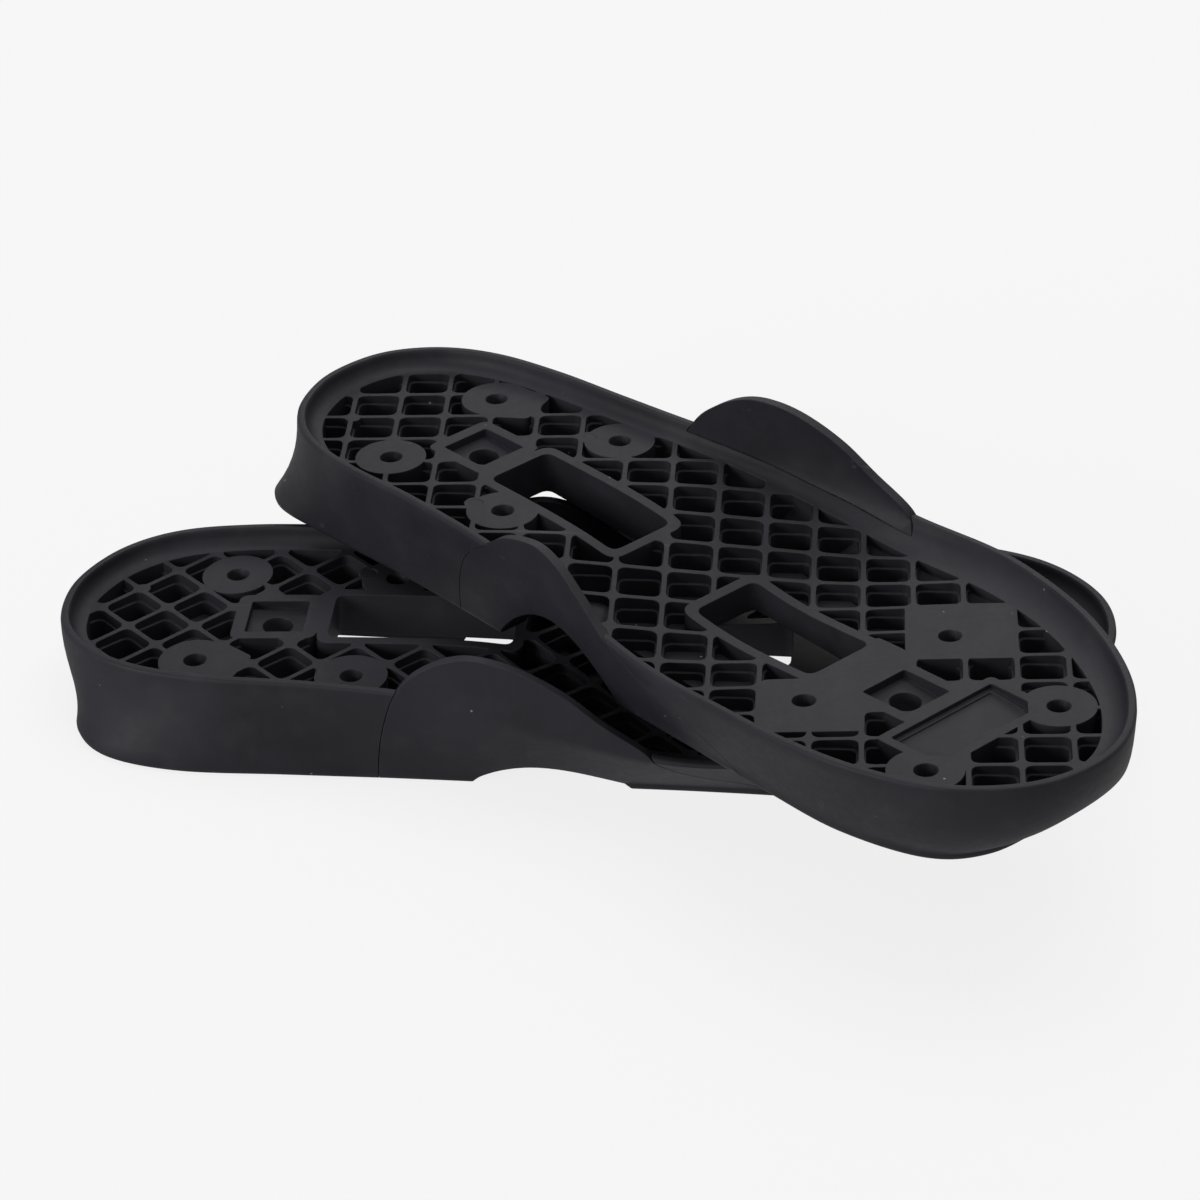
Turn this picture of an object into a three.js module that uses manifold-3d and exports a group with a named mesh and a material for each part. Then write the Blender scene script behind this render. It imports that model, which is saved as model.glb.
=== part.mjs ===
// A left and right pair of inline skate sole plates. The right plate lies flat and the left plate lies across it.
// Millimetres, +Z up. Each plate is built in its own frame: the heel bolt is on the Z axis, +X runs to the toe,
// +Y is the outer side of the foot, and Z = 0 is the plane of the two side rails that the plate stands on.
import * as THREE from 'three';
import { mergeVertices } from 'three/addons/utils/BufferGeometryUtils.js';
import Module from 'manifold-3d';

const wasm = await Module();
wasm.setup();

// Frame mounting bolts and their square recesses
const BOLT_SPACING = 167;
const BOLT_RADIUS = 4.15;
const RECESS_DEPTH = 3.2;
const RECESS_HALF = 8.4;
const RECESS_FRAME = 12;

// Ribbed tray: ribs at 45 degrees with one diamond pocket in each cell
const CELL_X = 9.4;
const CELL_Y = 9.5;
const CELL_ORIGIN = { x: 24.5, y: 14 };
const RIB_WIDTH = 2.2;
const POCKET_FLOOR = 5;
const SMALLEST_POCKET = 300;
const TRAY_FILLET = 1.2;
const WALL = 5.2;

// Rim
const RIM_HEIGHT = 5.4;
const LIP = 2.6;

// Screw holes: x, y, and whether the hole has its own round boss. The toe pair is blind, above the slanted wall.
const SCREW_RADIUS = 3;
const BLIND_FLOOR = 8;
const BOSS_RADIUS = 10;
const SCREWS = [
  { x: -14.7, y: -21.9, boss: true },
  { x: -19.8, y: 21.7, boss: true },
  { x: 31.1, y: -19.9, boss: true },
  { x: 24.6, y: 29.4, boss: true },
  { x: 150.8, y: -21, boss: false },
  { x: 155.2, y: 28.3, boss: false },
  { x: 197.1, y: -23.7, boss: true, blind: true },
  { x: 200.1, y: 21.7, boss: true, blind: true },
];

// Through windows and the wall that frames them
const WINDOWS = [
  { x0: 15.3, x1: 66.6, y0: -10.9, y1: 10.5 },
  { x0: 98.9, x1: 143.1, y0: -10.9, y1: 11.1 },
];
const WINDOW_FRAME = 3;
const WINDOW_CORNER = 3;

// Blank plaque recess between the toe screws
const PLAQUE = { x0: 180, x1: 197, y0: -19, y1: 18, notch: 4, depth: 2, frame: 2.6 };

// Frame bed: the long hollow under the plate that the wheel frame seats in
const BED = { x0: -28, x1: 186, half: 27, height: 12, roof: 2.8 };

// Shallow relief across the bottom of the outer rail, which clears the rim of a plate that lies below
const RAIL_RELIEF = { x0: 153, x1: 180, height: 4.6, lean: 0 };

// Side panels with the ear above the rim and the arch at the base
const PANEL_THICKNESS = 2.6;
const GAP = 0.3;
const ARCH_ROOF = 2.4;
const OUTER_PANEL = {
  side: 1,
  seam: [[33.4, -2], [33.6, 6], [34.6, 15], [36.6, 24], [39, 30.4]],
  ear: [[44, 37], [53, 43.4], [62, 45.8], [73, 44.6], [85, 40], [96, 33], [107, 26.8]],
  crease: [[112, 21], [121, 14.5], [132, 8], [146, -2]],
  arch: { x0: 58.5, x1: 102.5, height: 9.4, lean: 0 },
};
const INNER_PANEL = {
  side: -1,
  seam: [[33, -2], [33.4, 6], [35.4, 15], [39.6, 23], [47, 29.2]],
  ear: [[54.7, 35.6], [62.9, 39], [71, 40.4], [79, 38.4], [87, 33.6], [95, 28]],
  crease: [[103.6, 22.5], [111.4, 18], [120, 14], [131, 9], [146, -2]],
  arch: { x0: 48.5, x1: 96, height: 18.4, lean: 3 },
};

// How the left plate lies across the right one
const CROSSING_ANGLE = THREE.MathUtils.degToRad(-43.1);
const CROSSING_PLACE = { x: 53, y: 45.8, z: 30.2 };

// Height of the ribbed surface above the rails along the plate: raised heel, ramp, and sprung toe
const SOLE_PROFILE = [[-60, 19.8], [-20, 22], [20, 24.4], [55, 25.2], [85, 22.4], [115, 19.9], [150, 22.8], [190, 26], [232, 28.7]];

// Plan outlines, heel tip to toe tip: x, outer y, inner y. All three have the same number of rows.
const RIM_OUTLINE = [
  [-60.2, 0, 0], [-57.6, 13.7, -14.2], [-48, 26.2, -28.7], [-33, 34.7, -37.7], [-12, 39.5, -40.7],
  [15, 42.5, -40.2], [45, 47.2, -40.9], [75, 55.2, -42.2], [105, 62.2, -43.7], [135, 65, -45],
  [165, 60, -45.3], [190, 50.7, -41.9], [212, 36.7, -32.7], [226.6, 19.7, -16.7], [231.2, 2, 2],
];
const TRAY_OUTLINE = [
  [-55.5, 0, 0], [-53.3, 12, -12], [-45.2, 23, -24.6], [-31.3, 31, -33.6], [-12, 35.7, -37], [15, 38.7, -36.6],
  [45, 43.2, -37.3], [75, 48.8, -38.6], [105, 53.2, -40], [135, 54.8, -41.2], [163, 51.8, -41.4],
  [187, 43.8, -38.2], [208, 31.5, -29.3], [221.5, 16.5, -14], [225.5, 2, 2],
];
const BASE_OUTLINE = [
  [-53.6, 0, 0], [-53.5, 14.6, -14.6], [-52.2, 28.6, -32.2], [-42.5, 39.6, -41], [-22, 44.6, -40.6],
  [8, 43.9, -38.2], [38, 43, -36.9], [66, 42.6, -36.6], [94, 42.4, -36.4], [122, 42, -35.5],
  [150, 42.4, -34.6], [176, 44.1, -32.8], [199, 45.6, -24.6], [209.1, 35.6, -11.1], [210.6, 8, 8],
];
const OUTLINE_STEPS = 2;
const TOP = 60;

// Black moulded plastic, a little lighter on the panels
function plastic(shade) {
  return new THREE.MeshStandardMaterial({ color: shade, roughness: 0.48, metalness: 0 });
}

// Closed solid from a three.js geometry
function solid(geometry) {
  const bare = geometry.clone();
  bare.deleteAttribute('normal');
  bare.deleteAttribute('uv');
  const welded = mergeVertices(bare, 1e-4);
  const mesh = new wasm.Mesh({
    numProp: 3,
    vertProperties: Float32Array.from(welded.attributes.position.array),
    triVerts: Uint32Array.from(welded.index.array),
  });
  return new wasm.Manifold(mesh);
}

// three.js geometry from a closed solid
function geometryOf(body) {
  const mesh = body.getMesh();
  const geometry = new THREE.BufferGeometry();
  geometry.setAttribute('position', new THREE.BufferAttribute(Float32Array.from(mesh.vertProperties), 3));
  geometry.setIndex(new THREE.BufferAttribute(Uint32Array.from(mesh.triVerts), 1));
  geometry.computeVertexNormals();
  return geometry;
}

// Upright prism of a plan shape between two heights
function prism(shape, z0, z1) {
  const geometry = new THREE.ExtrudeGeometry(shape, { depth: z1 - z0, bevelEnabled: false, curveSegments: 4 });
  geometry.translate(0, 0, z0);
  return solid(geometry);
}

// Prism of a side-view shape (x, z) that runs along Y between two distances from the centre line
function sidePrism(points, y0, y1) {
  const shape = new THREE.Shape(points.map(([x, z]) => new THREE.Vector2(x, z)));
  const geometry = new THREE.ExtrudeGeometry(shape, { depth: y1 - y0, bevelEnabled: false });
  geometry.rotateX(Math.PI / 2);
  geometry.translate(0, y1, 0);
  return solid(geometry);
}

function cylinder(x, y, radius, z0, z1) {
  const geometry = new THREE.CylinderGeometry(radius, radius, z1 - z0, 16);
  geometry.rotateX(Math.PI / 2);
  geometry.translate(x, y, (z0 + z1) / 2);
  return solid(geometry);
}

function box(x0, x1, y0, y1, z0, z1) {
  const geometry = new THREE.BoxGeometry(x1 - x0, y1 - y0, z1 - z0);
  geometry.translate((x0 + x1) / 2, (y0 + y1) / 2, (z0 + z1) / 2);
  return solid(geometry);
}

// Rectangle with rounded corners
function roundedRectangle(x0, x1, y0, y1, radius) {
  const shape = new THREE.Shape();
  shape.moveTo(x0 + radius, y0);
  shape.lineTo(x1 - radius, y0);
  shape.absarc(x1 - radius, y0 + radius, radius, -Math.PI / 2, 0);
  shape.lineTo(x1, y1 - radius);
  shape.absarc(x1 - radius, y1 - radius, radius, 0, Math.PI / 2);
  shape.lineTo(x0 + radius, y1);
  shape.absarc(x0 + radius, y1 - radius, radius, Math.PI / 2, Math.PI);
  shape.lineTo(x0, y0 + radius);
  shape.absarc(x0 + radius, y0 + radius, radius, Math.PI, 1.5 * Math.PI);
  return shape;
}

// Rectangle or square diamond from corner points
function polygon(points) {
  return new THREE.Shape(points.map(([x, y]) => new THREE.Vector2(x, y)));
}

function diamond(x, y, halfX, halfY) {
  return polygon([[x - halfX, y], [x, y - halfY], [x + halfX, y], [x, y + halfY]]);
}

function add(bodies) {
  return bodies.reduce((sum, body) => sum.add(body));
}

// Height of the ribbed surface at a distance along the plate, by a smooth curve through the profile points
function soleHeight(x) {
  const last = SOLE_PROFILE.length - 1;
  const place = THREE.MathUtils.clamp(x, SOLE_PROFILE[0][0], SOLE_PROFILE[last][0]);
  const i = Math.min(last - 1, SOLE_PROFILE.findLastIndex(([px]) => px <= place));
  const [x0, z0] = SOLE_PROFILE[i];
  const [x1, z1] = SOLE_PROFILE[i + 1];
  const slope = (k) => {
    const [xa, za] = SOLE_PROFILE[Math.max(0, k - 1)];
    const [xb, zb] = SOLE_PROFILE[Math.min(last, k + 1)];
    return (zb - za) / (xb - xa);
  };
  const t = (place - x0) / (x1 - x0);
  const rise = z1 - z0;
  const bend = t * (1 - t) * ((slope(i) * (x1 - x0) - rise) * (1 - t) - (slope(i + 1) * (x1 - x0) - rise) * t);
  return z0 + rise * t + bend;
}

function rimHeight(x) {
  return soleHeight(x) + RIM_HEIGHT;
}

// Closed ring of points round the plate: outer side from heel to toe, then inner side back.
// Points i and n - i face each other across the plate, so a cap is a ladder of strips.
function ring(outline, heightOf, inset = 0) {
  const last = outline.length - 1;
  const outer = outline.map(([x, y]) => new THREE.Vector3(x, y, 0));
  const inner = outline.slice(1, last).reverse().map(([x, , y]) => new THREE.Vector3(x, y, 0));
  const curve = new THREE.CatmullRomCurve3([...outer, ...inner], true, 'catmullrom');
  const count = 2 * last * OUTLINE_STEPS;
  const points = Array.from({ length: count }, (_, i) => curve.getPoint(i / count));
  return points.map((point, i) => {
    const along = points[(i + 1) % count].clone().sub(points[(i + count - 1) % count]).normalize();
    const moved = new THREE.Vector3(point.x + along.y * inset, point.y - along.x * inset, 0);
    moved.z = heightOf(moved.x);
    return moved;
  });
}

// Closed solid through a stack of rings, lowest first
function loft(rings) {
  const n = rings[0].length;
  const half = n / 2;
  const positions = rings.flat().flatMap((p) => [p.x, p.y, p.z]);
  const index = [];
  for (let level = 0; level < rings.length - 1; level += 1) {
    for (let i = 0; i < n; i += 1) {
      const a = level * n + i;
      const b = level * n + ((i + 1) % n);
      index.push(a, a + n, b, b, a + n, b + n);
    }
  }
  const top = (rings.length - 1) * n;
  for (let i = 0; i < half; i += 1) {
    const quad = [i, i + 1, n - i - 1, (n - i) % n];
    const faces = [[quad[0], quad[1], quad[2]], [quad[0], quad[2], quad[3]]];
    faces.filter((face) => new Set(face).size === 3).forEach(([a, b, c]) => {
      index.push(a, b, c);
      index.push(top + a, top + c, top + b);
    });
  }
  const geometry = new THREE.BufferGeometry();
  geometry.setAttribute('position', new THREE.BufferAttribute(Float32Array.from(positions), 3));
  geometry.setIndex(index);
  return solid(geometry);
}

const level = (z) => () => z;

// Outside of the plate, from the rounded bottom edge to the given top
function hull(topHeight, inset = 0) {
  const mix = BASE_OUTLINE.map(([x, outer, inner], i) => {
    const [rx, ry, rz] = RIM_OUTLINE[i];
    return [(x + rx) / 2, (outer + ry) / 2, (inner + rz) / 2];
  });
  return loft([
    ring(BASE_OUTLINE, level(0), inset + 1.4),
    ring(BASE_OUTLINE, level(0.8), inset + 0.3),
    ring(BASE_OUTLINE, level(2.4), inset),
    ring(mix, (x) => rimHeight(x) / 2, inset),
    ring(RIM_OUTLINE, (x) => rimHeight(x) - 1, inset),
    ring(RIM_OUTLINE, topHeight, topHeight === rimHeight ? inset + 0.7 : inset),
  ]);
}

// The open space of the tray above the ribs
function traySpace() {
  return loft([
    ring(TRAY_OUTLINE, soleHeight, TRAY_FILLET),
    ring(TRAY_OUTLINE, (x) => soleHeight(x) + TRAY_FILLET),
    ring(RIM_OUTLINE, (x) => rimHeight(x) - 1, LIP),
    ring(RIM_OUTLINE, level(TOP), LIP),
  ]);
}

// Arch in the bottom edge: a half sine that may lean toward the toe
function archPoints({ x0, x1, height, lean }, grow = 0) {
  const steps = 12;
  const arc = Array.from({ length: steps + 1 }, (_, i) => {
    const t = i / steps;
    const swell = Math.sin(Math.PI * t) ** 0.75;
    return [x0 - grow + (x1 - x0 + 2 * grow) * t + lean * swell, (height + grow) * swell];
  });
  return [[x0 - grow, -5], ...arc, [x1 + grow, -5]];
}

function railRelief(grow = 0) {
  return sidePrism(archPoints(RAIL_RELIEF, grow), BED.half - 1, 90);
}

function archTunnel(panel, grow = 0) {
  const [y0, y1] = panel.side > 0 ? [BED.half - 1, 90] : [-90, 1 - BED.half];
  return sidePrism(archPoints(panel.arch, grow), y0, y1);
}

// Side view of a panel: up the seam, over the ear and down the crease to the foot
function panelPoints({ seam, ear, crease }, grow = 0) {
  const outline = [...seam, ...ear, ...crease];
  const peak = ear[2][0];
  const curve = new THREE.SplineCurve(outline.map(([x, z]) => new THREE.Vector2(x, z)));
  const points = curve.getPoints(2 * (outline.length - 1));
  return points.map(({ x, y }) => [x < peak ? x - grow : x + 2 * grow, y]);
}

function panelRegion(panel, grow = 0) {
  const [y0, y1] = panel.side > 0 ? [20, 90] : [-90, -20];
  return sidePrism(panelPoints(panel, grow), y0, y1);
}

// One pocket of the lattice: a diamond that leaves half a rib on each side
function pocketShape(x, y) {
  const slack = (RIB_WIDTH / 2) * Math.SQRT2;
  return diamond(x, y, CELL_X - slack, CELL_Y - slack);
}

// Material that stays between the pockets: bosses, frames, pads and the plaque surround
function solidAreas() {
  const bosses = SCREWS.filter(({ boss }) => boss).map(({ x, y }) => cylinder(x, y, BOSS_RADIUS, -1, TOP));
  const frames = WINDOWS.map(({ x0, x1, y0, y1 }) => {
    const grow = WINDOW_FRAME;
    const shape = roundedRectangle(x0 - grow, x1 + grow, y0 - grow, y1 + grow, WINDOW_CORNER + 1);
    return prism(shape, -1, TOP);
  });
  const recesses = [0, BOLT_SPACING].map((x) => {
    const shape = roundedRectangle(x - RECESS_FRAME, x + RECESS_FRAME, -RECESS_FRAME + 1, RECESS_FRAME - 1, 3);
    return prism(shape, -1, TOP);
  });
  const { x0, x1, y0, y1, frame } = PLAQUE;
  const surround = prism(roundedRectangle(x0 - frame, x1 + frame, y0 - frame, y1 + frame, 2), -1, TOP);
  const heelPad = prism(polygon([[-20, 31.7], [-26, 14], [-13, 13], [-4, 20], [-9, 33]]), -1, TOP);
  const nodePad = cylinder(-40.6, -14.6, 2.2, -1, TOP);
  const outerPad = prism(diamond(155.5, 32, 20.5, 20.5), -1, TOP);
  const innerPad = prism(diamond(154, -21, 19, 19), -1, TOP);
  const bridge = box(142, 158, -13, 15, -1, TOP);
  return add([...bosses, ...frames, ...recesses, surround, heelPad, nodePad, outerPad, innerPad, bridge]);
}

// All pockets of the tray, cut to the tray outline, the slanted walls and the roofs of the bed and arches
function pockets() {
  const cells = [];
  for (let k = -9; k <= 21; k += 1) {
    for (let l = -6; l <= 4; l += 1) {
      const x = CELL_ORIGIN.x + CELL_X * k;
      const y = CELL_ORIGIN.y + CELL_Y * l;
      if ((k + l) % 2 !== 0) cells.push(prism(pocketShape(x, y), POCKET_FLOOR, TOP));
    }
  }
  const trayOutline = loft([ring(TRAY_OUTLINE, level(0), TRAY_FILLET), ring(TRAY_OUTLINE, level(TOP), TRAY_FILLET)]);
  const inside = hull(level(TOP), WALL).intersect(trayOutline);
  const { x0, x1, half, height, roof } = BED;
  const bedRoof = box(x0 - roof, x1 + roof, -half - roof, half + roof, -1, height + roof);
  const archRoofs = [OUTER_PANEL, INNER_PANEL].map((panel) => archTunnel(panel, ARCH_ROOF));
  const kept = add([solidAreas(), bedRoof, ...archRoofs, railRelief(ARCH_ROOF)]);
  const cut = add(cells).intersect(inside).subtract(kept);
  return add(cut.decompose().filter((piece) => piece.volume() > SMALLEST_POCKET));
}

// Bolt recess with its hole
function boltCut(x) {
  const floor = soleHeight(x) - RECESS_DEPTH;
  const square = roundedRectangle(x - RECESS_HALF, x + RECESS_HALF, -RECESS_HALF + 0.4, RECESS_HALF - 0.4, 0.8);
  return prism(square, floor, TOP).add(cylinder(x, 0, BOLT_RADIUS, -1, TOP));
}

// Blank recess with notched corners; its floor follows the surface at its middle
function plaqueCut() {
  const { x0, x1, y0, y1, notch, depth } = PLAQUE;
  const floor = soleHeight((x0 + x1) / 2) - depth;
  const shape = polygon([
    [x0, y0], [x1 - notch, y0], [x1, y0 + notch], [x1, -notch], [x1 - notch / 2, 0], [x1, notch],
    [x1, y1 - notch], [x1 - notch, y1], [x0, y1],
  ]);
  return prism(shape, floor, TOP);
}

function solePlateSolid() {
  const { x0, x1, half, height } = BED;
  const panelSeats = [OUTER_PANEL, INNER_PANEL].map((panel) => {
    const behind = hull(level(TOP), PANEL_THICKNESS + GAP);
    return panelRegion(panel, GAP).subtract(behind);
  });
  const cuts = [
    traySpace(),
    pockets(),
    ...WINDOWS.map((w) => prism(roundedRectangle(w.x0, w.x1, w.y0, w.y1, WINDOW_CORNER), -1, TOP)),
    boltCut(0),
    boltCut(BOLT_SPACING),
    ...SCREWS.map(({ x, y, blind }) => cylinder(x, y, SCREW_RADIUS, blind ? BLIND_FLOOR : -1, TOP)),
    plaqueCut(),
    prism(roundedRectangle(x0, x1, -half, half, 4), -1, height),
    ...[OUTER_PANEL, INNER_PANEL].map((panel) => archTunnel(panel)),
    railRelief(),
    ...panelSeats,
  ];
  return cuts.reduce((body, cut) => body.subtract(cut), hull(rimHeight));
}

function panelSolid(panel) {
  const shell = hull(level(TOP)).subtract(hull(level(TOP), PANEL_THICKNESS));
  return shell.intersect(panelRegion(panel)).subtract(archTunnel(panel));
}

// One plate as a group of named meshes
function makePlate(side, solids) {
  const group = new THREE.Group();
  const parts = [
    ['sole_plate', solids.sole, 0x252428],
    ['outer_groove_panel', solids.outer, 0x2b2a2f],
    ['inner_groove_panel', solids.inner, 0x2b2a2f],
  ];
  parts.forEach(([name, geometry, shade]) => {
    const mesh = new THREE.Mesh(geometry, plastic(shade));
    mesh.name = `${side}_${name}`;
    group.add(mesh);
  });
  return group;
}

const solids = {
  sole: geometryOf(solePlateSolid()),
  outer: geometryOf(panelSolid(OUTER_PANEL)),
  inner: geometryOf(panelSolid(INNER_PANEL)),
};

const pair = new THREE.Group();

const rightPlate = makePlate('right', solids);
rightPlate.scale.y = -1;
pair.add(rightPlate);

const leftPlate = makePlate('left', solids);
leftPlate.rotation.z = CROSSING_ANGLE;
leftPlate.position.set(CROSSING_PLACE.x, CROSSING_PLACE.y, CROSSING_PLACE.z);
pair.add(leftPlate);

// The origin is on the floor below the middle of the pair
const bounds = new THREE.Box3().setFromObject(pair, true);
const middle = bounds.getCenter(new THREE.Vector3());
pair.position.set(-middle.x, -middle.y, 0);

export default pair;
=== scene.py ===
"""Looks of the pair of inline skate sole plates.

One plate is built in fine mesh, then placed twice: mirrored as the flat right plate, and turned as the left
plate that lies across it. Sizes inside a plate are in millimetres."""
import math

import bmesh
import bpy
from mathutils import Matrix, Vector


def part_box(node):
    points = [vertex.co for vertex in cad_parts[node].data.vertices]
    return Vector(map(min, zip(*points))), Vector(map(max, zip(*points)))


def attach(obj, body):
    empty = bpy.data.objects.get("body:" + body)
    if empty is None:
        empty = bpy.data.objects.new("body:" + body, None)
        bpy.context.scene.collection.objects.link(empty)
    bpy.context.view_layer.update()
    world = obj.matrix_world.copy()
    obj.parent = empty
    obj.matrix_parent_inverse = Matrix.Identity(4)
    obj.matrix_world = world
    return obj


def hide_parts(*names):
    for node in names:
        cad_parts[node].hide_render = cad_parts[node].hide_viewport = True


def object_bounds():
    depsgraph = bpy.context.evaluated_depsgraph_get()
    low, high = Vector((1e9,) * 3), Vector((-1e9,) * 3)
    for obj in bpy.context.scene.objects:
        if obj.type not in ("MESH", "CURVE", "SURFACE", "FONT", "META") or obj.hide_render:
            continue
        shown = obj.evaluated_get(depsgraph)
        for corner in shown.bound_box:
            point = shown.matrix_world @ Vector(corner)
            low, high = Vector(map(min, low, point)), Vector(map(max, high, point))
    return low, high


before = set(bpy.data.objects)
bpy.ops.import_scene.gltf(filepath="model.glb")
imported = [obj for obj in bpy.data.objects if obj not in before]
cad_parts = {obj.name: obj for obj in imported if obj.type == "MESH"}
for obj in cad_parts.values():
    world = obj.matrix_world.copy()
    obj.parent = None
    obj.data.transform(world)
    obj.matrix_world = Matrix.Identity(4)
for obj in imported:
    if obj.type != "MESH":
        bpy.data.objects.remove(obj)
cad_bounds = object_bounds()

MM = 0.001
TOP = 60.0

# ---------------------------------------------------------------- the plate's shape, in its own frame, mm
# The heel bolt is on the Z axis, the toe points along +X, the outer side of the foot is +Y, Z 0 is the bottom.

# (x, height of the ribbed surface)
SOLE_PROFILE = [(-60, 19.8), (-20, 22), (20, 24.4), (55, 25.2), (85, 22.4), (115, 19.9), (150, 22.8),
                (190, 26), (232, 28.7)]
RIM_HEIGHT = 5.4
LIP = 2.6
# Outlines from heel to toe: (x, y of the outer side, y of the inner side).
RIM_OUTLINE = [(-60.2, 0, 0), (-57.6, 13.7, -14.2), (-48, 26.2, -28.7), (-33, 34.7, -37.7),
               (-12, 39.5, -40.7), (15, 42.5, -40.2), (45, 47.2, -40.9), (75, 55.2, -42.2),
               (105, 62.2, -43.7), (135, 65, -45), (165, 60, -45.3), (190, 50.7, -41.9), (212, 36.7, -32.7),
               (226.6, 19.7, -16.7), (231.2, 2, 2)]
TRAY_OUTLINE = [(-55.5, 0, 0), (-53.3, 12, -12), (-45.2, 23, -24.6), (-31.3, 31, -33.6), (-12, 35.7, -37),
                (15, 38.7, -36.6), (45, 43.2, -37.3), (75, 48.8, -38.6), (105, 53.2, -40), (135, 54.8, -41.2),
                (163, 51.8, -41.4), (187, 43.8, -38.2), (208, 31.5, -29.3), (221.5, 16.5, -14), (225.5, 2, 2)]
BASE_OUTLINE = [(-53.6, 0, 0), (-53.5, 14.6, -14.6), (-52.2, 28.6, -32.2), (-42.5, 39.6, -41),
                (-22, 44.6, -40.6), (8, 43.9, -38.2), (38, 43, -36.9), (66, 42.6, -36.6), (94, 42.4, -36.4),
                (122, 42, -35.5), (150, 42.4, -34.6), (176, 44.1, -32.8), (199, 45.6, -24.6),
                (209.1, 35.6, -11.1), (210.6, 8, 8)]
# The wall's curve is met so much further forward at each of an outline's three values.
WALL_CURVE_SHIFT = (20, 26, 0)
# Screw holes: (x, y, whether it stands in a boss, height of its lower end).
SCREWS = [(-14.7, -21.9, True, -1), (-19.8, 21.7, True, -1), (31.1, -19.9, True, -1), (24.6, 29.4, True, -1),
          (150.8, -21, False, -1), (155.2, 28.3, False, -1), (197.1, -23.7, True, 8), (200.1, 21.7, True, 8)]
BOLTS = (0, 167)
WINDOWS = [(15.3, 66.6, -10.9, 10.5), (98.9, 143.1, -10.9, 11.1)]
PLAQUE = (180, 197, -19, 18)
GATE_MARKS = [(17.0, 24.6), (22.8, -22.6)]
# Frame bed in the underside: heel end, toe end, half width, height, thickness of its roof.
BED = (-28, 186, 27, 12, 2.8)
# Arches: start, end, height, lean towards the toe.
RELIEF = (153, 180, 4.6, 0)
# Lattice: half length and half width of a cell, x and y of one cell's middle.
CELL = (9.4, 9.5, 24.5, 14.0)
RIB = 1.4
LEDGE = 0.6
LEDGE_DEPTH = 3.0
POCKET_FLOOR = 5.0
POCKET_CORNER = 2.5
POCKET_WALL = 5.2
OUTER = {
    "side": 1,
    "seam": [(33.4, -2), (33.6, 6), (34.6, 15), (36.6, 24), (39, 30.4)],
    "ear": [(44, 37), (53, 43.4), (62, 45.8), (73, 44.6), (85, 40), (96, 33), (107, 26.8)],
    "crease": [(112, 21), (121, 14.5), (132, 8), (146, -2)],
    "arch": (58.5, 102.5, 9.4, 0),
}
INNER = {
    "side": -1,
    "seam": [(33, -2), (33.4, 6), (35.4, 15), (39.6, 23), (47, 29.2)],
    "ear": [(54.7, 35.6), (62.9, 39), (71, 40.4), (79, 38.4), (87, 33.6), (95, 28)],
    "crease": [(103.6, 22.5), (111.4, 18), (120, 14), (131, 9), (146, -2)],
    "arch": (48.5, 96, 18.4, 3),
}
PANEL = 2.6
GAP = 0.22
ARCH_WALL = 2.4
# The left plate in the right plate's place: its turn, and the place of its heel bolt.
CROSSING_ANGLE = math.radians(-43.1)
CROSSING_PLACE = (53.0, 45.8, 30.2)


# ---------------------------------------------------------------- curves

def spline(points, count, closed=False):
    """Evenly spread parameters on a Catmull-Rom curve through 2-D points."""
    n = len(points)
    spans = n if closed else n - 1
    result = []
    total = count if closed else count + 1
    for k in range(total):
        t = k * spans / count
        i = min(int(t), spans - 1)
        t -= i
        if closed:
            p = [points[(i + d) % n] for d in (-1, 0, 1, 2)]
        else:
            first = [2 * points[0][a] - points[1][a] for a in (0, 1)]
            last = [2 * points[-1][a] - points[-2][a] for a in (0, 1)]
            before = points[i - 1] if i else first
            after = points[i + 2] if i + 2 < n else last
            p = [before, points[i], points[i + 1], after]
        result.append(tuple(
            0.5 * (2 * p[1][a] + (p[2][a] - p[0][a]) * t
                   + (2 * p[0][a] - 5 * p[1][a] + 4 * p[2][a] - p[3][a]) * t * t
                   + (3 * p[1][a] - p[0][a] - 3 * p[2][a] + p[3][a]) * t ** 3) for a in (0, 1)))
    return result


def sole_height(x):
    """Height of the ribbed surface: a smooth curve through the profile points."""
    pts = SOLE_PROFILE
    x = min(max(x, pts[0][0]), pts[-1][0])
    i = max(k for k in range(len(pts) - 1) if pts[k][0] <= x)
    (x0, z0), (x1, z1) = pts[i], pts[i + 1]

    def slope(k):
        (xa, za), (xb, zb) = pts[max(0, k - 1)], pts[min(len(pts) - 1, k + 1)]
        return (zb - za) / (xb - xa)

    t = (x - x0) / (x1 - x0)
    rise = z1 - z0
    bend = (slope(i) * (x1 - x0) - rise) * (1 - t) - (slope(i + 1) * (x1 - x0) - rise) * t
    return z0 + rise * t + t * (1 - t) * bend


def rim_height(x):
    return sole_height(x) + RIM_HEIGHT


def level(z):
    return lambda x: z


STEPS = 12


def ring(outline, height, inset=0.0):
    """Closed ring of points round the plate, from the heel along the outer side to the toe and back."""
    last = len(outline) - 1
    around = [(x, y) for x, y, _ in outline] + [(x, y) for x, _, y in reversed(outline[1:last])]
    points = spline(around, 2 * last * STEPS, closed=True)
    count = len(points)
    moved = []
    for i, (x, y) in enumerate(points):
        (xa, ya), (xb, yb) = points[i - 1], points[(i + 1) % count]
        size = math.hypot(xb - xa, yb - ya)
        x, y = x + (yb - ya) / size * inset, y - (xb - xa) / size * inset
        moved.append((x, y, height(x)))
    return moved


# ---------------------------------------------------------------- solids

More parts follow.
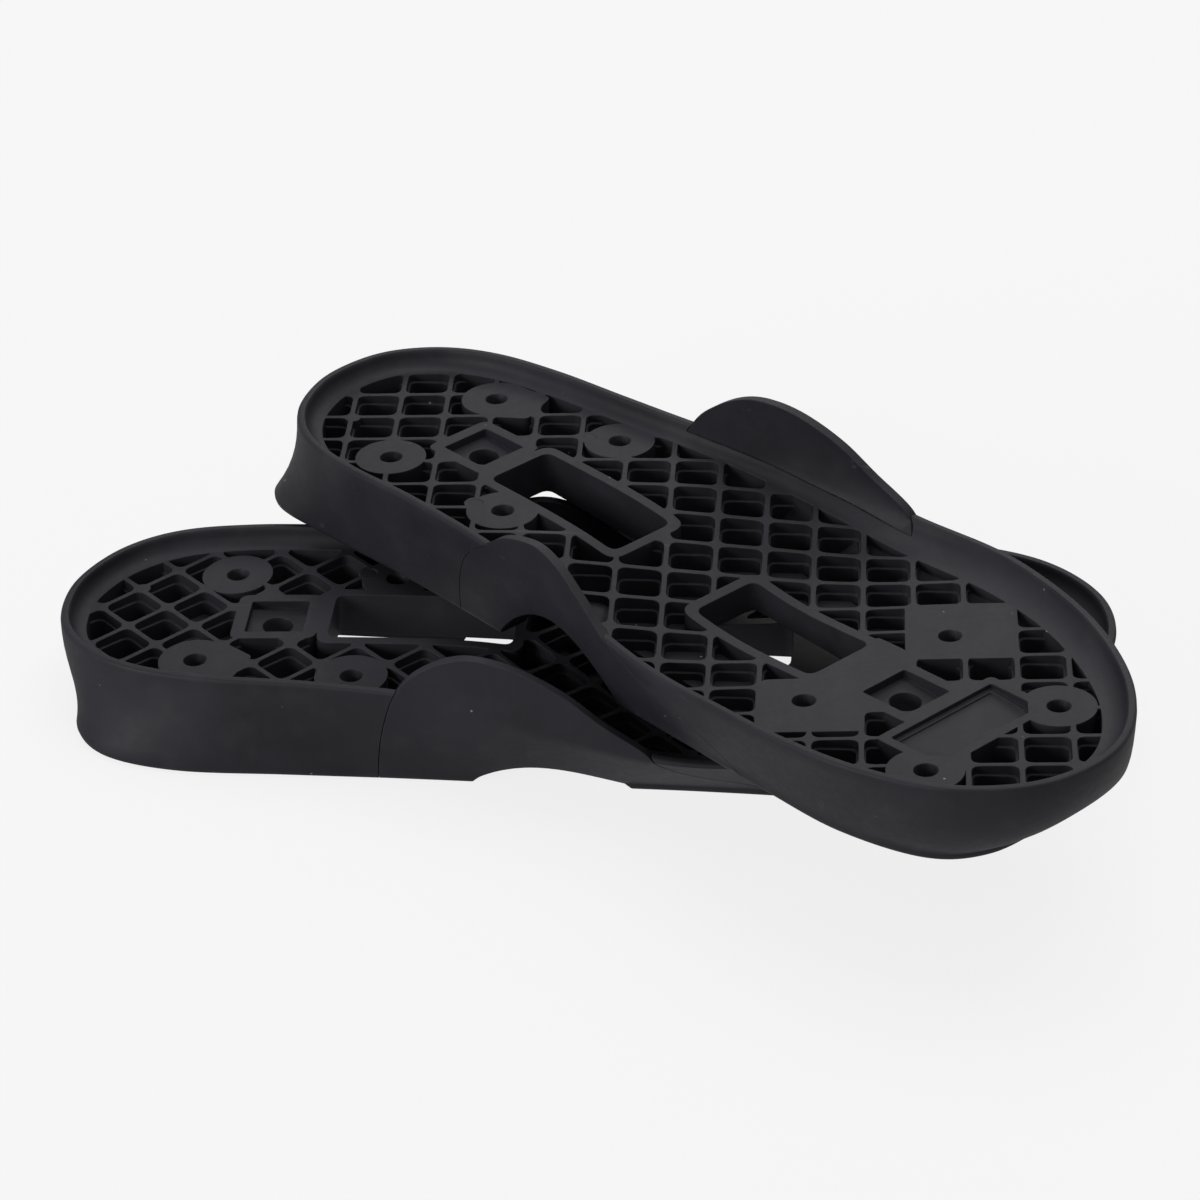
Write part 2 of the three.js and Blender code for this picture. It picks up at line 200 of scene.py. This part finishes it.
def loft(rings):
    """Closed solid through a stack of rings, lowest first; a cap is a ladder of strips across the plate."""
    mesh = bmesh.new()
    rows = [[mesh.verts.new(p) for p in points] for points in rings]
    n = len(rows[0])
    for low, high in zip(rows, rows[1:]):
        for i in range(n):
            j = (i + 1) % n
            mesh.faces.new((low[i], high[i], high[j], low[j]))
    for row, up in ((rows[0], False), (rows[-1], True)):
        for i in range(n // 2):
            quad = [row[i], row[i + 1], row[n - i - 1], row[(n - i) % n]]
            quad = list(dict.fromkeys(quad))
            mesh.faces.new(quad[::-1] if up else quad)
    return mesh


def shrunk(outline, amount):
    """Outline pulled in towards its middle by so many millimetres."""
    cx = sum(p[0] for p in outline) / len(outline)
    cy = sum(p[1] for p in outline) / len(outline)
    result = []
    for x, y in outline:
        k = 1 - min(amount / max(math.hypot(x - cx, y - cy), 0.01), 0.9)
        result.append((cx + (x - cx) * k, cy + (y - cy) * k))
    return result


def stack(levels):
    """Upright solid through outlines of equal length, each at its height, lowest first."""
    mesh = bmesh.new()
    rows = [[mesh.verts.new((x, y, z)) for x, y in outline] for outline, z in levels]
    n = len(rows[0])
    for low, high in zip(rows, rows[1:]):
        for i in range(n):
            j = (i + 1) % n
            mesh.faces.new((low[i], low[j], high[j], high[i]))
    mesh.faces.new(rows[0][::-1])
    mesh.faces.new(rows[-1])
    return mesh


def prism(outline, z0, z1, shrink=0.0):
    """Upright prism; shrink pulls the lower end in."""
    return stack([(shrunk(outline, shrink), z0), (outline, z1)])


def side_prism(points, y0, y1):
    """Prism of a side view (x, z) that runs along Y."""
    mesh = bmesh.new()
    near = [mesh.verts.new((x, y0, z)) for x, z in points]
    far = [mesh.verts.new((x, y1, z)) for x, z in points]
    n = len(points)
    for i in range(n):
        j = (i + 1) % n
        mesh.faces.new((near[i], far[i], far[j], near[j]))
    mesh.faces.new(near)
    mesh.faces.new(far[::-1])
    return mesh


def rounded(points, radius, steps=5):
    """Polygon with its corners rounded."""
    result = []
    n = len(points)
    for i in range(n):
        a, b, c = Vector(points[i - 1]), Vector(points[i]), Vector(points[(i + 1) % n])
        u, v = (a - b).normalized(), (c - b).normalized()
        half = math.acos(max(-1, min(1, u.dot(v)))) / 2
        cut = min(radius / math.tan(half), (a - b).length * 0.45, (c - b).length * 0.45)
        for k in range(steps + 1):
            t = k / steps
            p = (b + u * cut) * (1 - t) ** 2 + b * 2 * t * (1 - t) + (b + v * cut) * t * t
            result.append((p.x, p.y))
    return result


def rectangle(x0, x1, y0, y1, radius):
    return rounded([(x0, y0), (x1, y0), (x1, y1), (x0, y1)], radius)


def diamond(x, y, half_x, half_y, radius):
    return rounded([(x - half_x, y), (x, y - half_y), (x + half_x, y), (x, y + half_y)], radius)


def disc(x, y, radius, count=48):
    return [(x + radius * math.cos(2 * math.pi * k / count), y + radius * math.sin(2 * math.pi * k / count))
            for k in range(count)]


def joined(meshes):
    """One bmesh of several closed meshes that don't touch."""
    whole = bmesh.new()
    for mesh in meshes:
        verts = {v: whole.verts.new(v.co) for v in mesh.verts}
        for face in mesh.faces:
            whole.faces.new([verts[v] for v in face.verts])
        mesh.free()
    return whole


def as_object(name, mesh):
    bmesh.ops.recalc_face_normals(mesh, faces=mesh.faces)
    data = bpy.data.meshes.new(name)
    mesh.to_mesh(data)
    mesh.free()
    obj = bpy.data.objects.new(name, data)
    bpy.context.scene.collection.objects.link(obj)
    return obj


def carve(obj, steps):
    """Applies booleans one after another: (operation, bmesh)."""
    for operation, mesh in steps:
        cutter = as_object("cutter", mesh)
        modifier = obj.modifiers.new("carve", "BOOLEAN")
        modifier.operation = operation
        modifier.solver = "MANIFOLD"
        modifier.object = cutter
        bpy.context.view_layer.update()
        result = bpy.data.meshes.new_from_object(obj.evaluated_get(bpy.context.evaluated_depsgraph_get()))
        obj.modifiers.clear()
        old = obj.data
        obj.data = result
        bpy.data.meshes.remove(old)
        data = cutter.data
        bpy.data.objects.remove(cutter)
        bpy.data.meshes.remove(data)
    return obj


# ---------------------------------------------------------------- one plate

def wall_share(share, x):
    """How far the wall has come from the base to the rim outline at a share of its height.

    It goes straight up along the waist, and comes out early, in a curve, at the heel and the toe."""
    heel = min((10 - x) / 40, 1)
    toe = min((x - 195) / 40, 0.8)
    curved = max(heel, toe, 0)
    return share * (1 - curved) + (1 - (1 - share) ** 2.4) * curved


def wall_outline(share):
    """Outline of the wall at a share of its height."""
    outline = []
    for base, rim in zip(BASE_OUTLINE, RIM_OUTLINE):
        shares = [wall_share(share, rim[0] + shift) for shift in WALL_CURVE_SHIFT]
        outline.append(tuple(b + (r - b) * s for b, r, s in zip(base, rim, shares)))
    return outline


def hull(top, inset=0.0, lip_round=True):
    """Outside of the plate, with its bottom edge and rim rounded."""
    rings = [
        ring(BASE_OUTLINE, level(0), inset + 1.4),
        ring(BASE_OUTLINE, level(0.25), inset + 0.8),
        ring(BASE_OUTLINE, level(0.8), inset + 0.3),
        ring(BASE_OUTLINE, level(1.5), inset + 0.06),
        ring(BASE_OUTLINE, level(2.4), inset),
    ]
    for share in (0.12, 0.25, 0.4, 0.55, 0.7, 0.85):
        rings.append(ring(wall_outline(share), lambda x, s=share: 2.4 + (rim_height(x) - 3.6) * s, inset))
    rings.append(ring(RIM_OUTLINE, lambda x: rim_height(x) - 1.2, inset))
    if lip_round:
        rings.append(ring(RIM_OUTLINE, lambda x: rim_height(x) - 0.5, inset + 0.12))
        rings.append(ring(RIM_OUTLINE, lambda x: rim_height(x) - 0.12, inset + 0.45))
        rings.append(ring(RIM_OUTLINE, top, inset + 0.95))
    else:
        rings.append(ring(RIM_OUTLINE, top, inset))
    return loft(rings)


def tray_space():
    """Space inside the rim, above the ribs: its side is a quarter round from the ribs up to the rim's lip."""
    rings = []
    for k in range(8):
        turn = math.radians(12 * k)
        share = math.sin(turn)
        outline = [tuple(a + (b - a) * share for a, b in zip(tray, rim))
                   for tray, rim in zip(TRAY_OUTLINE, RIM_OUTLINE)]
        rise = (RIM_HEIGHT - 0.5) * (1 - math.cos(turn))
        rings.append(ring(outline, lambda x, z=rise: sole_height(x) + z, LIP))
    return loft(rings + [
        ring(RIM_OUTLINE, lambda x: rim_height(x) - 0.35, LIP - 0.2),
        ring(RIM_OUTLINE, lambda x: rim_height(x) + 0.3, LIP - 0.8),
        ring(RIM_OUTLINE, lambda x: rim_height(x) + 4.5, LIP - 0.1),
        ring(RIM_OUTLINE, level(TOP), LIP),
    ])


def arch_points(arch, grow=0.0):
    """Side view of an arch that is open at the bottom."""
    x0, x1, height, lean = arch
    points = [(x0 - grow, -5)]
    for k in range(41):
        t = k / 40
        swell = math.sin(math.pi * t) ** 0.75 if 0 < t < 1 else 0
        points.append((x0 - grow + (x1 - x0 + 2 * grow) * t + lean * swell, (height + grow) * swell))
    return points + [(x1 + grow, -5)]


def arch_tunnel(panel, grow=0.0):
    """The groove that a panel's arch leaves, from outside the plate to the frame bed."""
    y0, y1 = (BED[2] - 1, 90) if panel["side"] > 0 else (-90, 1 - BED[2])
    return side_prism(arch_points(panel["arch"], grow), y0, y1)


def rail_relief(grow=0.0):
    """Shallow arch through the outer rail, which clears the other plate's rim."""
    return side_prism(arch_points(RELIEF, grow), BED[2] - 1, 90)


def panel_region(panel, grow=0.0):
    """Everything beside the plate between a panel's seam, ear and crease."""
    outline = panel["seam"] + panel["ear"] + panel["crease"]
    peak = panel["ear"][2][0]
    points = spline(outline, 10 * (len(outline) - 1))
    points = [(x - grow if x < peak else x + 2 * grow, z) for x, z in points]
    y0, y1 = (20, 90) if panel["side"] > 0 else (-90, -20)
    return side_prism(points, y0, y1)


def solid_areas():
    """What stays between the pockets."""
    areas = [disc(x, y, 10) for x, y, boss, _ in SCREWS if boss]
    areas += [rectangle(x0 - 3, x1 + 3, y0 - 3, y1 + 3, 4.5) for x0, x1, y0, y1 in WINDOWS]
    areas += [rectangle(x - 12, x + 12, -11, 11, 3) for x in BOLTS]
    x0, x1, y0, y1 = PLAQUE
    areas.append(rectangle(x0 - 2.6, x1 + 2.6, y0 - 2.6, y1 + 2.6, 2))
    areas.append(rounded([(-20, 31.7), (-26, 14), (-13, 13), (-4, 20), (-9, 33)], 2))
    areas.append(disc(-40.6, -14.6, 2.2, 20))
    areas += [disc(x, y, 3.1, 24) for x, y in GATE_MARKS]
    areas.append(diamond(155.5, 32, 20.5, 20.5, 2))
    areas.append(diamond(154, -21, 19, 19, 2))
    areas.append(rectangle(142, 158, -13, 15, 1))
    return [prism(area, -1, TOP) for area in areas]


def pocket_object():
    """The lattice's pockets, as an object and as a mesh with the small slivers left out."""
    cell_x, cell_y, start_x, start_y = CELL
    slack = RIB / 2 * math.sqrt(2)
    cells = []
    for k in range(-9, 22):
        for m in range(-6, 5):
            if (k + m) % 2:
                x = start_x + cell_x * k
                outline = diamond(x, start_y + cell_y * m, cell_x - slack, cell_y - slack, POCKET_CORNER)
                inner = shrunk(outline, LEDGE)
                ledge = sole_height(x) - LEDGE_DEPTH
                lower = [(shrunk(inner, 0.5), POCKET_FLOOR), (inner, ledge)]
                upper = [(outline, ledge + 0.15), (outline, TOP)]
                cells.append(stack(lower + upper))
    x0, x1, half, height, roof = BED
    roofed_bed = rectangle(x0 - roof, x1 + roof, -half - roof, half + roof, 1)
    steps = [
        ("INTERSECT", hull(level(TOP), POCKET_WALL, lip_round=False)),
        ("INTERSECT", loft([ring(TRAY_OUTLINE, level(0), 2.2), ring(TRAY_OUTLINE, level(TOP), 2.2)])),
        ("DIFFERENCE", prism(roofed_bed, -1, height + roof)),
        ("DIFFERENCE", arch_tunnel(OUTER, ARCH_WALL)),
        ("DIFFERENCE", arch_tunnel(INNER, ARCH_WALL)),
        ("DIFFERENCE", rail_relief(ARCH_WALL)),
    ]
    steps += [("DIFFERENCE", area) for area in solid_areas()]
    pockets = carve(as_object("pockets", joined(cells)), steps)
    mesh = bmesh.new()
    mesh.from_mesh(pockets.data)
    drop_small_islands(mesh, 220.0)
    return pockets, mesh


def drop_small_islands(mesh, smallest):
    """Removes closed islands under a volume in cubic millimetres."""
    waiting = set(mesh.verts)
    gone = []
    while waiting:
        island = set()
        edge = [waiting.pop()]
        while edge:
            vert = edge.pop()
            island.add(vert)
            for link in vert.link_edges:
                other = link.other_vert(vert)
                if other in waiting:
                    waiting.discard(other)
                    edge.append(other)
        faces = {face for vert in island for face in vert.link_faces}
        volume = 0.0
        for face in faces:
            corners = [v.co for v in face.verts]
            for a, b in zip(corners[1:], corners[2:]):
                volume += corners[0].dot(a.cross(b)) / 6
        if abs(volume) < smallest:
            gone += list(island)
    bmesh.ops.delete(mesh, geom=gone, context="VERTS")


def bolt_cut(x):
    """Square recess with a bolt hole."""
    floor = sole_height(x) - 3.2
    return [
        ("DIFFERENCE", prism(rectangle(x - 8.4, x + 8.4, -8, 8, 0.9), floor, TOP, 0.35)),
        ("DIFFERENCE", prism(disc(x, 0, 4.15), -1, TOP)),
        ("DIFFERENCE", prism(disc(x, 0, 4.9), floor - 0.35, floor + 1, 0.75)),
    ]


def plaque_cut():
    """Blank plaque recess with a notched toe side, in two steps."""
    x0, x1, y0, y1 = PLAQUE
    floor = sole_height((x0 + x1) / 2) - 2
    outline = rounded([(x0, y0), (x1 - 4, y0), (x1, y0 + 4), (x1, -4), (x1 - 2, 0), (x1, 4), (x1, y1 - 4),
                       (x1 - 4, y1), (x0, y1)], 0.8, 3)
    step = rounded([(x0 + 1.4, y0 + 1.4), (x1 - 4.4, y0 + 1.4), (x1 - 1.4, y0 + 4.4), (x1 - 1.4, y1 - 4.4),
                    (x1 - 4.4, y1 - 1.4), (x0 + 1.4, y1 - 1.4)], 0.8, 3)
    return [
        ("DIFFERENCE", prism(outline, floor, TOP, 0.2)),
        ("DIFFERENCE", prism(step, floor - 0.45, TOP, 0.2)),
    ]


def sole_plate():
    """The main moulding: the hull less the tray, pockets, holes, frame bed and the panels' seats."""
    x0, x1, half, height, _ = BED
    steps = [("DIFFERENCE", tray_space())]
    pockets, pocket_mesh = pocket_object()
    steps.append(("DIFFERENCE", pocket_mesh))
    bpy.data.objects.remove(pockets)
    steps += [("DIFFERENCE", prism(rectangle(a, b, c, d, 3), -1, TOP)) for a, b, c, d in WINDOWS]
    for x in BOLTS:
        steps += bolt_cut(x)
    for x, y, _, floor in SCREWS:
        top = sole_height(x)
        steps.append(("DIFFERENCE", prism(disc(x, y, 3, 36), floor, TOP)))
        steps.append(("DIFFERENCE", prism(disc(x, y, 3.55, 36), top - 0.4, top + 0.4, 0.6)))
    for x, y in GATE_MARKS:
        top = sole_height(x)
        steps.append(("DIFFERENCE", prism(disc(x, y, 2.4, 28), top - 0.15, top + 0.3, 0.3)))
    steps += plaque_cut()
    steps.append(("DIFFERENCE", prism(rectangle(x0, x1, -half, half, 4), -1, height)))
    steps.append(("DIFFERENCE", rail_relief()))
    for panel in (OUTER, INNER):
        steps.append(("DIFFERENCE", arch_tunnel(panel)))
        seat = carve(as_object("seat", panel_region(panel, GAP)),
                     [("DIFFERENCE", hull(level(TOP), PANEL + GAP, lip_round=False))])
        mesh = bmesh.new()
        mesh.from_mesh(seat.data)
        bpy.data.objects.remove(seat)
        steps.append(("DIFFERENCE", mesh))
    plate = carve(as_object("sole_plate", hull(rim_height)), steps)
    mesh = bmesh.new()
    mesh.from_mesh(plate.data)
    drop_small_islands(mesh, 60.0)
    mesh.to_mesh(plate.data)
    mesh.free()
    return plate


def groove_panel(name, panel):
    """Thin shell of the hull within the panel's region."""
    return carve(as_object(name, hull(level(TOP), lip_round=False)), [
        ("DIFFERENCE", hull(level(TOP), PANEL, lip_round=False)),
        ("INTERSECT", panel_region(panel)),
        ("DIFFERENCE", arch_tunnel(panel)),
    ])


# ---------------------------------------------------------------- material

def moulded_plastic(name, tone, roughness, scuffs):
    """Satin black moulding: fine grain, uneven sheen, edges lightened partly as rubbed wear and partly as a
    painted highlight, hairline scuffs and specks of dust.
    """
    material = bpy.data.materials.new(name)
    material.use_nodes = True
    tree = material.node_tree
    tree.nodes.clear()

    def node(kind, **values):
        made = tree.nodes.new(kind)
        for key, value in values.items():
            setattr(made, key, value)
        return made

    def wire(source, target):
        tree.links.new(source, target)

    def noise(scale, detail, stretch=(1, 1, 1), turn=(0, 0, 0)):
        mapping = node("ShaderNodeMapping")
        mapping.inputs["Scale"].default_value = stretch
        mapping.inputs["Rotation"].default_value = turn
        wire(place.outputs["Object"], mapping.inputs["Vector"])
        texture = node("ShaderNodeTexNoise")
        texture.inputs["Scale"].default_value = scale
        texture.inputs["Detail"].default_value = detail
        wire(mapping.outputs["Vector"], texture.inputs["Vector"])
        return texture.outputs["Fac"]

    def ramp(source, low, high, low_value=0.0, high_value=1.0):
        made = node("ShaderNodeMapRange")
        made.inputs["From Min"].default_value = low
        made.inputs["From Max"].default_value = high
        made.inputs["To Min"].default_value = low_value
        made.inputs["To Max"].default_value = high_value
        wire(source, made.inputs["Value"])
        return made.outputs["Result"]

    def mix(first, second, factor, blend="MIX"):
        made = node("ShaderNodeMix", data_type="RGBA", blend_type=blend)
        sockets = {s.identifier: s for s in made.inputs}
        for value, key in ((factor, "Factor_Float"), (first, "A_Color"), (second, "B_Color")):
            if hasattr(value, "node"):
                wire(value, sockets[key])
            else:
                sockets[key].default_value = value
        return {s.identifier: s for s in made.outputs}["Result_Color"]

    def maths(kind, first, second):
        made = node("ShaderNodeMath", operation=kind)
        for value, socket in zip((first, second), made.inputs):
            if hasattr(value, "node"):
                wire(value, socket)
            else:
                socket.default_value = value
        return made.outputs["Value"]

    place = node("ShaderNodeTexCoord")
    output = node("ShaderNodeOutputMaterial")
    shader = node("ShaderNodeBsdfPrincipled")
    wire(shader.outputs["BSDF"], output.inputs["Surface"])

    soft = node("ShaderNodeBevel", samples=6)
    soft.inputs["Radius"].default_value = 0.00042
    bare = node("ShaderNodeNewGeometry")
    dot = node("ShaderNodeVectorMath", operation="DOT_PRODUCT")
    wire(soft.outputs["Normal"], dot.inputs[0])
    wire(bare.outputs["Normal"], dot.inputs[1])
    edge = ramp(dot.outputs["Value"], 0.999, 0.90)

    cloud = noise(38, 4)
    streak = noise(110, 3, (1, 0.12, 1), (0, 0, 0.5))
    grain = noise(2600, 2)
    dapple = noise(420, 3)
    hairline = noise(260, 5, (0.05, 1, 1), (0.3, 0.2, -0.75))
    scuff = ramp(hairline, 0.70, 0.78, 0.0, scuffs)
    speck_cells = node("ShaderNodeTexVoronoi", feature="F1")
    speck_cells.inputs["Scale"].default_value = 190
    wire(place.outputs["Object"], speck_cells.inputs["Vector"])
    speck = ramp(speck_cells.outputs["Distance"], 0.075, 0.045)
    thin_out = ramp(noise(150, 2), 0.60, 0.63)
    speck = maths("MULTIPLY", speck, thin_out)

    dark, pale = (tuple(c * k for c in tone) + (1,) for k in (0.82, 1.22))
    colour = mix(dark, pale, ramp(cloud, 0.3, 0.7))
    colour = mix(colour, (0.040, 0.040, 0.045, 1), maths("MULTIPLY", ramp(streak, 0.5, 0.75), 0.25))
    # Edges are lightened in the colour: partly rubbed wear, partly a painted highlight along every edge.
    wear_and_sheen = maths("MULTIPLY", edge, ramp(dapple, 0.35, 0.75, 0.15, 0.8))
    colour = mix(colour, (0.062, 0.062, 0.067, 1), maths("MULTIPLY", wear_and_sheen, 0.55))
    colour = mix(colour, (0.085, 0.085, 0.09, 1), scuff)
    colour = mix(colour, (0.30, 0.30, 0.30, 1), maths("MULTIPLY", speck, 0.7))
    wire(colour, shader.inputs["Base Color"])

    sheen = ramp(cloud, 0.25, 0.75, roughness - 0.05, roughness + 0.06)
    sheen = maths("ADD", sheen, maths("MULTIPLY", ramp(dapple, 0.3, 0.7), 0.06))
    sheen = maths("SUBTRACT", sheen, maths("MULTIPLY", wear_and_sheen, 0.08))
    wire(sheen, shader.inputs["Roughness"])
    shader.inputs["Specular IOR Level"].default_value = 0.17

    fine = node("ShaderNodeBump")
    fine.inputs["Strength"].default_value = 0.16
    fine.inputs["Distance"].default_value = 0.00006
    wire(grain, fine.inputs["Height"])
    wire(soft.outputs["Normal"], fine.inputs["Normal"])
    broad = node("ShaderNodeBump")
    broad.inputs["Strength"].default_value = 0.10
    broad.inputs["Distance"].default_value = 0.0004
    wire(dapple, broad.inputs["Height"])
    wire(fine.outputs["Normal"], broad.inputs["Normal"])
    wire(broad.outputs["Normal"], shader.inputs["Normal"])
    return material


# ---------------------------------------------------------------- build the pair

sole_black = moulded_plastic("sole_black", (0.0180, 0.0178, 0.0225), 0.50, 0.3)
panel_black = moulded_plastic("panel_black", (0.0182, 0.0180, 0.0230), 0.47, 0.45)

low, high = (Vector(corner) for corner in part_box("right_sole_plate"))
origin = Vector((low.x - RIM_OUTLINE[0][0] * MM, low.y + max(row[1] for row in RIM_OUTLINE) * MM, low.z))
right_place = Matrix.Translation(origin) @ Matrix.Scale(MM, 4) @ Matrix.Scale(-1, 4, Vector((0, 1, 0)))
crossing = Matrix.Translation(Vector(CROSSING_PLACE) * MM) @ Matrix.Rotation(CROSSING_ANGLE, 4, "Z")
left_place = Matrix.Translation(origin) @ crossing @ Matrix.Scale(MM, 4)

pieces = {
    "sole_plate": (sole_plate(), sole_black, "sole_plastic"),
    "outer_groove_panel": (groove_panel("outer", OUTER), panel_black, "panel_plastic"),
    "inner_groove_panel": (groove_panel("inner", INNER), panel_black, "panel_plastic"),
}
for part, (source, material, slot) in pieces.items():
    for side, place in (("right", right_place), ("left", left_place)):
        data = source.data.copy()
        data.transform(place)
        if place.determinant() < 0:
            data.flip_normals()
        for vert in data.vertices:
            vert.co = [min(max(value, least), most) for value, least, most in zip(vert.co, *cad_bounds)]
        data.shade_smooth()
        data.set_sharp_from_angle(angle=math.radians(40))
        data.materials.clear()
        data.materials.append(material)
        piece = bpy.data.objects.new(f"{side}_{part}_fine", data)
        bpy.context.scene.collection.objects.link(piece)
        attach(piece, f"{side}_plate")
        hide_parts(f"{side}_{part}")
    bpy.data.objects.remove(source)


# ---------------------------------------------------------------- floor, light and camera

def stage_material():
    material = bpy.data.materials.new("pale_floor")
    material.use_nodes = True
    shader = material.node_tree.nodes["Principled BSDF"]
    shader.inputs["Base Color"].default_value = (0.09, 0.09, 0.09, 1)
    shader.inputs["Roughness"].default_value = 0.9
    shader.inputs["Specular IOR Level"].default_value = 0.1
    shader.inputs["Emission Color"].default_value = (1, 1, 1, 1)
    seen = material.node_tree.nodes.new("ShaderNodeLightPath")
    glow = material.node_tree.nodes.new("ShaderNodeMapRange")
    glow.inputs["To Min"].default_value = 0.40
    glow.inputs["To Max"].default_value = 0.825
    material.node_tree.links.new(seen.outputs["Is Camera Ray"], glow.inputs["Value"])
    material.node_tree.links.new(glow.outputs["Result"], shader.inputs["Emission Strength"])
    return material


def floor():
    mesh = bmesh.new()
    bmesh.ops.create_grid(mesh, x_segments=1, y_segments=1, size=6)
    obj = as_object("floor", mesh)
    obj.location.z = cad_bounds[0][2] - 0.0002
    obj.data.materials.append(stage_material())


def softbox(name, place, target, width, height, power):
    light = bpy.data.lights.new(name, "AREA")
    light.shape = "RECTANGLE"
    light.size = width
    light.size_y = height
    light.energy = power
    obj = bpy.data.objects.new(name, light)
    obj.location = place
    obj.rotation_euler = (Vector(target) - Vector(place)).to_track_quat("-Z", "Y").to_euler()
    bpy.context.scene.collection.objects.link(obj)


def camera():
    """Telephoto view from the front, looking down, with the right plate's toe pointing right."""
    eye = origin + Vector((175.8, -985.9, 673.6)) * MM
    aim = Vector((-0.0868, 0.9962, 0)).normalized()
    tilt = math.radians(32.887)
    forward = aim * math.cos(tilt) - Vector((0, 0, 1)) * math.sin(tilt)
    data = bpy.data.cameras.new("camera")
    data.sensor_width = 36
    data.lens = 128.6
    data.clip_end = 20
    obj = bpy.data.objects.new("camera", data)
    obj.location = eye
    obj.rotation_euler = forward.to_track_quat("-Z", "Y").to_euler()
    bpy.context.scene.collection.objects.link(obj)
    bpy.context.scene.camera = obj


floor()
camera()
middle = (Vector(cad_bounds[0]) + Vector(cad_bounds[1])) / 2
softbox("overhead", middle + Vector((0.1, 0.35, 1.5)), middle, 1.7, 1.3, 17)
softbox("front_fill", middle + Vector((-1.6, -1.4, 0.7)), middle, 1.2, 0.8, 28)
softbox("back_strip", middle + Vector((0.2, 1.6, 0.8)), middle, 1.6, 0.5, 5)

world = bpy.data.worlds.new("studio")
world.use_nodes = True
world.node_tree.nodes["Background"].inputs["Color"].default_value = (1, 1, 1, 1)
world.node_tree.nodes["Background"].inputs["Strength"].default_value = 0.30
bpy.context.scene.world = world
bpy.context.scene.view_settings.view_transform = "Standard"
